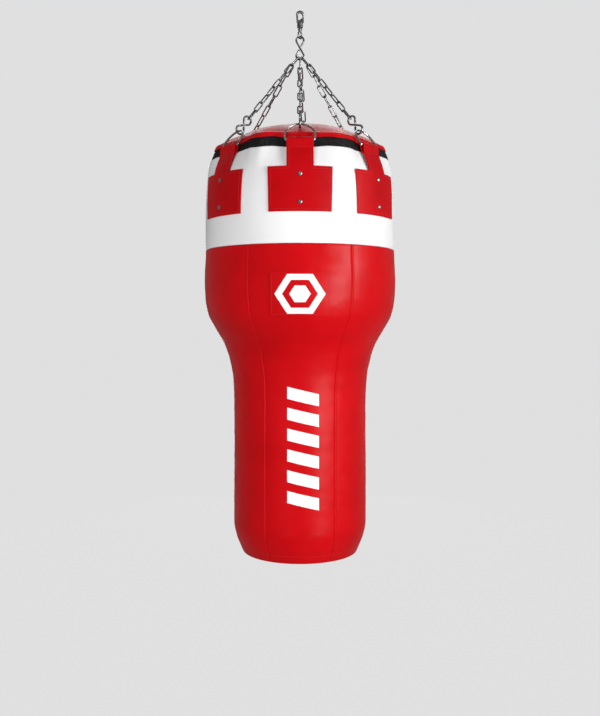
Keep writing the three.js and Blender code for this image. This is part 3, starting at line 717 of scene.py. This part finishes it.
def lid_point(azimuths, s):
    """A point on the lid, s along its outline from the crown."""
    path, length = along(LID_TOP + LID_SKIRT)
    away = smooth(from_strap(azimuths), *CLEAR_OF_STRAP)
    side = smooth(from_strap(azimuths), *WIDE_SPAN)
    rise = LID_RISE * away + LID_WAVE * strap_wave(azimuths) + LID_SIDE_RISE * side
    profile = path(np.broadcast_to(s, np.broadcast(azimuths, s).shape) * length)
    radii, heights = profile[..., 0], profile[..., 1]
    skirt = smooth(s, *SKIRT)
    heights = heights + rise * skirt
    radii = radii - skirt * rise * SKIRT_SLOPE
    radii = radii * (1 - pinch(heights) * strap_pull(azimuths))
    points = round_the_bag(azimuths, radii, heights)
    outwards = points * [1, 1, 0] / np.maximum(radii, 0.02)[..., None]
    folds = smooth(s, *FOLDS) * rumple(points, 0.0016, (0.026, 0.026, 0.05), 21)
    swell = rumple(points, 0.0022, (0.07, 0.07, 0.05), 33)
    return points + outwards * folds[..., None] + np.stack([0 * swell, 0 * swell, swell], -1)


def lid():
    """The leather lid, closed at its crown."""
    s = np.concatenate([[0.012], np.linspace(0.05, 1, 74)])[:, None]
    piece = make("sewn_lid", [shell(lid_point(rings_of(240), s), SKIN, pole=True)], RED)
    dress(piece, "bag", "red_leather", "lid")


def base():
    """The round base, which sags a little, inside a welt of piping."""
    low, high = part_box("bottom_disc")
    radius = high.x - 0.0005
    s = np.linspace(0.02, 1, 26)[:, None]
    azimuths = rings_of(96)
    points = round_the_bag(azimuths, s * radius, 0 * s)
    heights = low.z - BASE_SAG * (1 - s ** 2) + rumple(points, 0.0006, (0.05, 0.05, 1), 2)
    outer = round_the_bag(azimuths, s * radius, heights)
    disc_points, disc_faces = shell(outer * [1, 1, -1], SKIN, pole=True)
    disc = [(x, y, -z) for x, y, z in disc_points], disc_faces
    turns = np.linspace(0, 2 * pi, 120, endpoint=False)
    circle = np.stack([PIPING_RADIUS * np.cos(turns), PIPING_RADIUS * np.sin(turns)], -1)
    piping = wire(circle, PIPING_WIRE, sides=10, closed=True)
    piping = moved(piping, (0, 0, low.z + 0.0002), up=(0, 1, 0), face=(0, 0, 1))
    dress(make("sewn_base", [disc, piping], RED), "bag", "red_leather", "bottom_disc")


def foam_liner():
    """The thick foam roll inside the cover."""
    low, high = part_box("foam_liner")
    rolled = FOAM_THICKNESS / 2 + 0.001  # its edges are rounded by half its thickness
    heights = np.linspace(high.z - rolled, low.z + rolled, 60)[:, None]
    azimuths = rings_of(96)
    radii = outline(heights) - FOAM_DEPTH
    points = round_the_bag(azimuths, radii, heights)
    radii = radii - np.abs(rumple(points, 0.0008, (0.05, 0.05, 0.08), 9))
    outer = round_the_bag(azimuths, radii, heights)
    piece = make("foam_roll", [shell(outer, FOAM_THICKNESS)], foam_finish())
    dress(piece, "bag", "foam", "foam_liner")


def filling():
    """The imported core: crowned under the lid and lumpy against the foam."""
    low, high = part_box("textile_filling")
    side = [(float(outline(z)) - FILLING_DEPTH, z) for z in np.linspace(-0.42, low.z + 0.002, 40)]
    crown = [
        (0.03, high.z - 0.001), (0.086, -0.298), (0.12, -0.309),
        (0.165, -0.329), (0.178, -0.343), (0.188, -0.39),
    ]
    profile = [(0, high.z), *crown, *side, (0, low.z + 0.001)]
    points, faces = turned(profile, 96)
    points = np.array(points)
    points[:, :2] *= 1 - np.abs(rumple(points, 0.012, (0.04, 0.04, 0.04), 15))[:, None]
    piece = make("packed_textile", [(points, faces)], shredded_textile())
    dress(piece, "bag", "textile", "textile_filling")


# ---- What is sewn and printed on the bag ----


def stitches(path, pitch=0.005, length=0.0034, radius=0.00042):
    """Thread along a closely spaced path in space: one short, slightly sunk stitch after another."""
    at = distances(path)
    stitch = wire([(0, t) for t in np.linspace(-length / 2, length / 2, 3)], radius, sides=6)
    islands = []
    for middle in np.arange(pitch / 2, at[-1] - pitch / 2, pitch):
        start, end = (
            Vector([np.interp(middle + half * length / 2, at, column) for column in path.T])
            for half in (-1, 1)
        )
        seat = (start + end) / 2
        islands.append(moved(stitch, seat, end - start, seat * Vector((1, 1, 0)) + Vector((0, 0, 1e-4))))
    return islands


def sewn(name, path, **size):
    """A row of stitches along a path over the leather."""
    dress(make(name, stitches(path, **size), RED_THREAD), "bag", "red_leather")


def hem_stitching():
    """The row of stitches above the base."""
    azimuths = np.linspace(-pi, pi, 700)
    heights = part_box("body_cover")[0].z + HEM + 0 * azimuths
    radii = cover_radius(azimuths, heights) + THREAD_LIFT["hem"]
    sewn("hem_stitching", round_the_bag(azimuths, radii, heights))


def lid_stitching():
    """The row of stitches along the lid's edge."""
    azimuths = np.linspace(-pi, pi, 900)
    path = lid_point(azimuths[None, :], np.array([[LID_SEAM_AT]]))[0]
    outwards = path * [1, 1, 0] / np.linalg.norm(path[:, :2], axis=1)[:, None]
    sewn("lid_stitching", path + outwards * THREAD_LIFT["lid"])


def on_front(x, z, lift):
    """A point over the red cover's front at x, z."""
    azimuth = np.arcsin(x / outline(z))
    radii = cover_radius(azimuth, z) + lift
    return np.stack([x, -np.sqrt(radii ** 2 - x ** 2), z + 0 * x], -1)


def front_sheet(rows, thickness, lift):
    """A thin sheet on the cover's front from rows of (x, z) points with the same count in each."""
    grid = np.array(rows, float)
    outer = on_front(grid[..., 0], grid[..., 1], lift + thickness)
    inner = on_front(grid[..., 0], grid[..., 1], lift)
    count, columns = grid.shape[:2]
    faces = quads(count, columns, close_columns=False)
    back = [tuple(count * columns + k for k in reversed(face)) for face in faces]
    index = np.arange(count * columns).reshape(count, columns)
    ring = [*index[0], *index[1:, -1], *index[-1, -2::-1], *index[-2:0:-1, 0]]
    walls = [(a, b, count * columns + b, count * columns + a) for a, b in zip(ring, ring[1:] + ring[:1])]
    points = np.concatenate([outer.reshape(-1, 3), inner.reshape(-1, 3)])
    return points, faces + back + walls


def emblem_patch():
    """A leather plate sewn on the front, with a stitched edge."""
    half_width, half_height = EMBLEM_HALF
    xs = np.linspace(-half_width, half_width, 40)
    rows = [[(x, z) for x in xs] for z in np.linspace(EMBLEM_Z + half_height, EMBLEM_Z - half_height, 30)]
    plate = front_sheet(rows, EMBLEM_THICKNESS, 0.0001)
    dress(make("sewn_emblem_patch", [plate], RED), "bag", "red_leather", "emblem_patch")
    w, h = half_width - EMBLEM_SEAM_INSET, half_height - EMBLEM_SEAM_INSET
    path = route([(-w, -h), (w, -h), (w, h), (-w, h), (-w, -h)], 60)
    seam = on_front(path[:, 0], EMBLEM_Z + path[:, 1], EMBLEM_THICKNESS + PRINT_LIFT)
    sewn("emblem_stitching", seam, pitch=0.004, length=0.0028, radius=0.00035)


def hexagon(turn):
    """A point of a flat-topped hexagon's outline in a unit circle, at this turn from its centre."""
    sector = turn % (pi / 3) - pi / 6
    reach = cos(pi / 6) / cos(sector)
    return reach * cos(turn), reach * sin(turn)


def hexagon_band(outside, inside):
    """Rows of points on the front, from a hexagon's outline in to a smaller one's."""
    corners = [hexagon(turn) for turn in np.linspace(0, 2 * pi, 145)]
    width, height = EMBLEM_MARK
    sizes = np.linspace(outside, inside, 5)
    return [[(x * k * width, EMBLEM_Z + z * k * height) for x, z in corners] for k in sizes]


def emblem():
    """A plain white hexagon round a smaller solid one."""
    bands = [hexagon_band(1, 0.7), hexagon_band(0.42, 0.004)]
    sheets = [front_sheet(band, PRINT_THICKNESS, EMBLEM_THICKNESS + PRINT_LIFT) for band in bands]
    dress(make("printed_emblem", sheets, INK), "bag", "white_leather")


def marks():
    """A column of plain slanted bars down the front."""
    pitch = (MARKS_TOP - MARKS_BOTTOM) / (MARKS_COUNT - 1 + MARKS_FILL)
    across = np.linspace(-MARKS_HALF_WIDTH, MARKS_HALF_WIDTH, 25)
    sheets = []
    for k in range(MARKS_COUNT):
        top = MARKS_TOP - k * pitch
        heights = np.linspace(top, top - MARKS_FILL * pitch, 9)
        rows = [[(MARKS_CENTRE + x, z + MARKS_SLANT * x) for x in across] for z in heights]
        sheets.append(front_sheet(rows, PRINT_THICKNESS, PRINT_LIFT))
    dress(make("printed_bars", sheets, INK), "bag", "white_leather")


# ---- Straps, rivets and D-rings ----


def strap_line():
    """The middle of the strap's leather in a radial plane: up the patch, in over the shoulder, upright
    below the D-ring's bar, round the bar and down again behind."""
    wrap = arc(*BAR, STRAP_WRAP, 0, pi, 8)
    rising = [
        (PATCH_RADIUS, PATCH_BOTTOM), *((radius, z) for z, radius in PATCH_LEAN),
        (0.225, -0.4045), (0.2185, -0.3875), (0.2118, -0.3725), (0.2097, -0.364),
    ]
    tail = [(0.2012, -0.359), (0.204, -0.365), (0.207, -0.371)]
    return rising + wrap + tail


def strap_place(azimuth, across, s, lift=0.0):
    """A point of the strap, `across` from its middle line and s along it, lifted off its middle surface."""
    path, length = along(strap_line())
    before, after = path(np.clip(s - 0.0005, 0, length)), path(np.clip(s + 0.0005, 0, length))
    direction = (after - before) / np.linalg.norm(after - before, axis=-1, keepdims=True)
    r, z = np.moveaxis(path(s), -1, 0)
    flat = smooth(s, *STRAP_FLAT)
    angle = across / PATCH_RADIUS
    out_x, out_y = np.sin(angle) * (1 - flat), np.cos(angle) * (1 - flat) + flat
    sideways = PATCH_RADIUS * np.sin(angle) * (1 - flat) + across * flat
    sag = PATCH_RADIUS * (1 - np.cos(angle)) * (1 - flat)
    depth = r - sag + lift * direction[..., 1] * out_y
    x = sideways + lift * direction[..., 1] * out_x
    z = z - lift * direction[..., 0]
    forward, aside = cos(azimuth), sin(azimuth)
    return np.stack([x * forward + depth * aside, x * aside - depth * forward, z], -1)


def half_width_at(s):
    """The patch's half width, s up from its foot."""
    return PATCH_HALF_WIDTH - PATCH_TAPER * (1 - np.clip(s / (PATCH_TOP - PATCH_BOTTOM), 0, 1))


def strap_mesh(leg):
    """The T-shaped leather: a wide patch and a narrower strap that rises from it."""
    azimuth = azimuth_of(leg)
    patch_length = PATCH_TOP - PATCH_BOTTOM
    length = along(strap_line())[1]
    rows = np.concatenate([np.linspace(0, patch_length, 22), np.linspace(patch_length, length, 56)[1:]])
    inner = np.linspace(-STRAP_HALF_WIDTH, STRAP_HALF_WIDTH, 15)
    outer = np.linspace(STRAP_HALF_WIDTH, PATCH_HALF_WIDTH, 11)[1:]
    columns = np.concatenate([-outer[::-1], inner, outer])
    s, across = np.meshgrid(rows, columns, indexing="ij")
    wide = np.abs(across) > STRAP_HALF_WIDTH
    stretch = (half_width_at(s) - STRAP_HALF_WIDTH) / (PATCH_HALF_WIDTH - STRAP_HALF_WIDTH)
    stretched = np.sign(across) * (STRAP_HALF_WIDTH + (np.abs(across) - STRAP_HALF_WIDTH) * stretch)
    across = np.where(wide, stretched, across)
    seed = 40 + 10 * LEGS.index(leg)
    warp = rumple(np.stack([across, s, 0 * s], -1), 0.0005, (0.03, 0.03, 1), seed)
    points = strap_place(azimuth, across, s, warp)
    keep = (s <= patch_length + 1e-6) | ~wide
    index = -np.ones(s.shape, int)
    index[keep] = np.arange(keep.sum())
    faces = [index.ravel()[list(face)] for face in quads(*s.shape, close_columns=False)]
    return points[keep], [face for face in faces if face.min() >= 0]


def strap(leg):
    """A strap's leather with rounded edges, and the thread round its patch and up its neck."""
    piece = make(f"{leg}_sewn_strap", [strap_mesh(leg)], RED_STRAP)
    thick = piece.modifiers.new("thickness", "SOLIDIFY")
    thick.thickness, thick.offset, thick.use_even_offset = STRAP_THICKNESS, 0, True
    edge = piece.modifiers.new("edge", "BEVEL")
    edge.width, edge.segments = 0.0008, 3
    edge.limit_method, edge.angle_limit = "ANGLE", radians(50)
    dress(piece, "bag", "red_leather", f"{leg}_strap")

    bottom, top = STITCH_INSET, PATCH_TOP - PATCH_BOTTOM - STITCH_INSET
    wide = half_width_at(0.05) - STITCH_INSET
    narrow, high = STRAP_HALF_WIDTH - STITCH_INSET, STRAP_SEAM_END
    corners = [
        (-wide, bottom), (wide, bottom), (wide, top), (narrow, top), (narrow, high),
        (-narrow, high), (-narrow, top), (-wide, top), (-wide, bottom),
    ]
    lift = STRAP_THICKNESS / 2 + THREAD_LIFT["strap"]
    sewn(f"{leg}_strap_stitching", strap_place(azimuth_of(leg), *route(corners, 40).T, lift))


def rivet(leg, which):
    """A domed rivet with a rolled rim and a small dimple, and its shank through the strap."""
    low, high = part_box(f"{leg}_{which}_rivet")
    height = (low.z + high.z) / 2
    azimuth = azimuth_of(leg)
    profile = [
        (0, 0.0021), (0.0009, 0.0022), (0.0015, 0.00255), (0.0026, 0.0024), (0.004, 0.0017),
        (0.0047, 0.001), (0.005, 0.0004), (0.0049, 0), (0.0022, 0), (0.0022, -0.0052), (0, -0.0052),
    ]
    patch_radius = np.interp(height, *zip((PATCH_BOTTOM, PATCH_RADIUS), *PATCH_LEAN))
    seat = float(patch_radius) + STRAP_THICKNESS / 2 + 0.0002
    at = radial(azimuth, seat, height)
    island = moved(turned(profile, 32), at, up=(0, 0, 1), face=radial(azimuth, 1, 0))
    piece = make(f"{leg}_{which}_domed_rivet", [island], RIVET_STEEL)
    dress(piece, "bag", "rivet_steel", f"{leg}_{which}_rivet")


def d_ring(leg):
    """A ring of round wire: a straight bar in the strap's fold and a bow above it."""
    azimuth = azimuth_of(leg)
    inwards, up = BOW_FROM_BAR
    straight = hypot(inwards, up) - RING_HALF_WIDTH
    side = RING_HALF_WIDTH - RING_CORNER
    path = [
        *arc(side, RING_CORNER, RING_CORNER, -pi / 2, 0, 8),
        *arc(0, straight, RING_HALF_WIDTH, 0, pi, 48),
        *arc(-side, RING_CORNER, RING_CORNER, pi, 1.5 * pi, 8),
        *line((-side, 0), (side, 0), 24),
    ]
    ring = wire(path, RING_WIRE, 18, closed=True)
    island = moved(ring, radial(azimuth, *BAR), radial(azimuth, inwards, up), radial(azimuth, 1, 0))
    dress(make(f"{leg}_wire_d_ring", [island], RING_STEEL), f"{leg}_ring", "ring_steel", f"{leg}_d_ring")


# ---- Hooks and chains ----


def s_hook(size):
    """An S-hook in XY, centred, with blunt ends that nearly close on its middle."""
    wire_radius, bend, spacing = size["wire"], size["bend"], size["spacing"]
    cross = asin(2 * bend / spacing)
    reach = (2 * wire_radius + HOOK_TIP_GAP) / sin(2 * cross)
    tip = reach * np.array([-sin(cross), cos(cross)])
    upper = arc(0, spacing / 2, bend, pi + cross, -cross, 44)
    lower = arc(0, -spacing / 2, bend, pi - cross, 2 * pi + cross, 44)
    first, middle, last = line(tip, upper[0], 4), line(upper[-1], lower[0], 12), line(lower[-1], -tip, 4)
    return wire([tip, *first, *upper, *middle, *lower, *last, -tip], wire_radius, 16)


def chain_link(half_width, pitch):
    """An oval link in XY, its upper bend's wire centred on the origin, with a weld in one side."""
    bottom = -pitch - 2 * LINK_WIRE
    path = np.array(oval(half_width, 0, bottom, bend_steps=16, left_steps=14, right_steps=8))
    from_weld = np.linalg.norm(path - [-half_width, bottom / 2], axis=1)
    swell = 1 + WELD_SWELL * np.exp(-((from_weld / WELD_REACH) ** 2))
    return wire(path, LINK_WIRE * swell, 14, closed=True)


EYE_BOTTOM = JOINTS["s_hook_swing"]["pos_m"][2]
EYE_WIRE, EYE_RADIUS = 0.002, 0.008
TOP_HOOK_PLAY = 0.0007
TOP_HOOK_CENTRE = (
    EYE_BOTTOM + EYE_WIRE + TOP_HOOK["wire"] + TOP_HOOK_PLAY - TOP_HOOK["spacing"] / 2 - TOP_HOOK["bend"]
)
GATHER = TOP_HOOK_CENTRE - TOP_HOOK["spacing"] / 2
ACROSS = Vector((0, 1, 0))


def top_hook():
    """The S-hook that hangs in the swivel's eye and gathers the chains."""
    island = moved(s_hook(TOP_HOOK), (0, 0, TOP_HOOK_CENTRE), (0, 0, 1), ACROSS)
    dress(make("bent_top_s_hook", [island], CHAIN_STEEL), "hanging_s_hook", "chain_steel", "top_s_hook")


def pair_place(side):
    """Where a shared link hangs in the S-hook: left (-1), middle (0) or right (1)."""
    seat = TOP_HOOK["bend"] - TOP_HOOK["wire"] - LINK_WIRE - PAIR_PLAY
    drop = seat * (1 if side == 0 else cos(PAIR_SEAT))
    at = Vector((side * seat * sin(PAIR_SEAT), 0, GATHER - drop))
    lean = side * PAIR_LEAN
    return at, Vector((sin(lean), 0, -cos(lean))), Vector((cos(lean), 0, sin(lean)))


def shared_link(side, name):
    """One of the three links that each hold two of the legs."""
    at, down, face = pair_place(side)
    island = moved(chain_link(PAIR_HALF_WIDTH, PAIR_PITCH), at, -down, face)
    dress(make(f"{name}_welded", [island], CHAIN_STEEL), "bag", "chain_steel", name)


def leg_start(azimuth):
    """The centre of a chain's first bend of wire, inside its shared link's lower bend."""
    out = radial(azimuth, 1, 0)
    at, down, _ = pair_place(0 if abs(out.x) < 0.5 else copysign(1, out.x))
    bend_centre = PAIR_PITCH + 2 * LINK_WIRE - PAIR_HALF_WIDTH
    seat = PAIR_HALF_WIDTH - 2 * LINK_WIRE - PAIR_PLAY
    depth = sqrt(seat ** 2 - LEG_SPREAD ** 2)
    return at + down * (bend_centre + depth) + ACROSS * copysign(LEG_SPREAD, out.y)


def chain_leg(leg):
    """A chain's separate welded links, and the S-hook that holds the D-ring below them."""
    azimuth = azimuth_of(leg)
    start = leg_start(azimuth)
    bow = radial(azimuth, BAR[0] + BOW_FROM_BAR[0], BAR[1] + BOW_FROM_BAR[1])
    span, down = (bow - start).length, (bow - start).normalized()
    hook_length = LEG_HOOK["spacing"] + 2 * LEG_HOOK["bend"]
    hook_bottom = span + LEG_HOOK["wire"] + RING_WIRE + RING_PLAY
    hook_top = hook_bottom - hook_length
    last_bend = hook_top + LEG_HOOK["wire"] + LINK_WIRE + LAST_LINK_PLAY
    step = (last_bend - 2 * LINK_WIRE + LINK_FUSE) / LINKS_PER_LEG
    sideways = radial(azimuth + pi / 2, 1, 0)

    first = (ACROSS - down * ACROSS.dot(down)).normalized()
    last = down.cross(sideways).normalized()
    turn = atan2(first.cross(last).dot(down), first.dot(last))
    extra = turn - pi * round(turn / pi)
    twist = pi / 2 + extra / (LINKS_PER_LEG - 1)
    link = chain_link(LINK_HALF_WIDTH, step - LINK_FUSE)
    islands = [
        moved(link, start + down * (k * step), -down, Matrix.Rotation(k * twist, 3, down) @ first)
        for k in range(LINKS_PER_LEG)
    ]
    dress(make(f"{leg}_welded_links", islands, CHAIN_STEEL), "bag", "chain_steel", f"{leg}_chain")
    hook = moved(s_hook(LEG_HOOK), start + down * (hook_top + hook_length / 2), -down, sideways)
    dress(make(f"{leg}_bent_s_hook", [hook], CHAIN_STEEL), "bag", "chain_steel", f"{leg}_s_hook")


# ---- Snap hook and swivel ----

CROWN_TOP, HOOK_HALF_WIDTH, THROAT_HALF_WIDTH = 0.009, 0.0095, 0.0044
HOOK_THICKNESS, NOSE = 0.008, -0.0046
CHEEK_INSIDE, CHEEK_TOP = 0.0021, -0.0125
PIVOT = (JOINTS["gate_open"]["pos_m"][0], JOINTS["gate_open"]["pos_m"][2])
BARREL_RADIUS, BARREL_TOP, BARREL_BOTTOM = 0.0072, -0.0205, -0.0355
SHANK_TOP = -0.0262  # the swivel's shank ends inside the barrel


def upright(island):
    """Turns an island from XY into the XZ plane."""
    return moved(island, (0, 0, 0), (0, 0, 1), (0, -1, 0))


def slab(low, high):
    """A closed box, as material to be fused with its neighbours."""
    corners = [(x, y, z) for x in (low[0], high[0]) for y in (low[1], high[1]) for z in (low[2], high[2])]
    faces = [(0, 1, 3, 2), (4, 6, 7, 5), (0, 4, 5, 1), (2, 3, 7, 6), (0, 2, 6, 4), (1, 5, 7, 3)]
    return corners, faces


def snap_hook():
    """The cast hook: a round-backed crown and spine, two cheeks for the gate, and the swivel's barrel."""
    bar = (HOOK_HALF_WIDTH - THROAT_HALF_WIDTH) / 2
    middle = THROAT_HALF_WIDTH + bar
    crown_thick = CROWN_TOP / 2
    path = [
        *line((-middle + 0.001, BARREL_TOP - 0.002), (-middle, -THROAT_HALF_WIDTH), 10),
        *arc(0, -THROAT_HALF_WIDTH + 0.002, middle, pi, 0, 26),
        (middle, NOSE + bar * 0.8),
    ]
    heights = np.array([p[1] for p in path])
    radius = bar + (crown_thick - bar) * 0.75 * smooth(heights, -0.004, 0.0045)
    side = HOOK_THICKNESS / 2
    crown = upright(wire(path, radius, 20, depth=side))
    r, top, low = BARREL_RADIUS, BARREL_TOP, BARREL_BOTTOM
    cheeks = [
        slab((0.001, sign * CHEEK_INSIDE, top - 0.001), (HOOK_HALF_WIDTH, sign * side, CHEEK_TOP))
        for sign in (-1, 1)
    ]
    root = slab((-HOOK_HALF_WIDTH + 0.001, -side, top - 0.002), (0.0022, side, -0.0158))
    barrel = turned([
        (0, top), (r - 0.001, top), (r, top - 0.001), (r, low + 0.002), (r - 0.0016, low),
        (0.0036, low), (0.0036, low + 0.001), (0, low + 0.001),
    ], 40)
    piece = fused(make("cast_snap_hook", [crown, *cheeks, root, barrel], ZINC), voxel=0.00045)
    dress(piece, "snap_hook", "zinc_steel", "snap_hook_body")


def gate():
    """The sprung gate: a bar with a rounded foot, a thumb ridge and a tip that meets the nose."""
    x, z = PIVOT
    path = [(x, z), *line((x, z), (x + 0.0002, NOSE - 0.002), 10), (x + 0.0002, NOSE - 0.0023)]
    radius = [0.0022, *[0.002 + 0.0003 * cos(4 * k) for k in range(9)], 0.0018]
    bar = upright(wire(path, radius, 16, depth=0.0017))
    dress(make("cast_gate", [bar], ZINC), "gate", "zinc_steel", "hook_gate")


def gate_pin():
    """A riveted pin across the gate's foot."""
    low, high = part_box("gate_pin")
    x, z = PIVOT
    half = (high.y - low.y) / 2
    end = [(0, 0), (0.001, 0), (0.0015, 0.0003), (0.0016, 0.0006), (0.0011, 0.0006)]  # radius, depth
    profile = [(r, half - depth) for r, depth in end] + [(r, depth - half) for r, depth in reversed(end)]
    points, faces = turned(profile, 24)
    piece = make("riveted_gate_pin", [([(x + px, pz, z + py) for px, py, pz in points], faces)], ZINC)
    dress(piece, "snap_hook", "zinc_steel", "gate_pin")


def swivel():
    """The swivel's shank, its collar and the round eye below it."""
    collar = BARREL_BOTTOM - 0.0003  # its top
    neck = collar - 0.0075
    shank = turned([
        (0, SHANK_TOP), (0.003, SHANK_TOP), (0.003, collar), (0.0048, collar), (0.0052, collar - 0.0006),
        (0.0052, collar - 0.0034), (0.0046, collar - 0.0044), (0.0032, neck), (0, neck),
    ], 40)
    loop = oval(EYE_RADIUS, neck, EYE_BOTTOM, bend_steps=24, left_steps=3, right_steps=3)
    face = radial(radians(60), 1, 0)
    eye = moved(wire(loop, EYE_WIRE, 16, closed=True), (0, 0, 0), (0, 0, 1), face)
    piece = fused(make("forged_swivel_eye", [shank, eye], ZINC), voxel=0.0004, rounds=2)
    dress(piece, "swivel", "zinc_steel", "swivel_eye")


# ---- The object ----

red_cover()
white_band()
black_band()
lid()
base()
foam_liner()
filling()
hem_stitching()
lid_stitching()
emblem_patch()
emblem()
marks()
for leg_name in LEGS:
    strap(leg_name)
    rivet(leg_name, "upper")
    rivet(leg_name, "lower")
    d_ring(leg_name)
    chain_leg(leg_name)
for place, side_name in enumerate(("left", "middle", "right")):
    shared_link(place - 1, f"{side_name}_shared_link")
top_hook()
snap_hook()
gate()
gate_pin()
swivel()
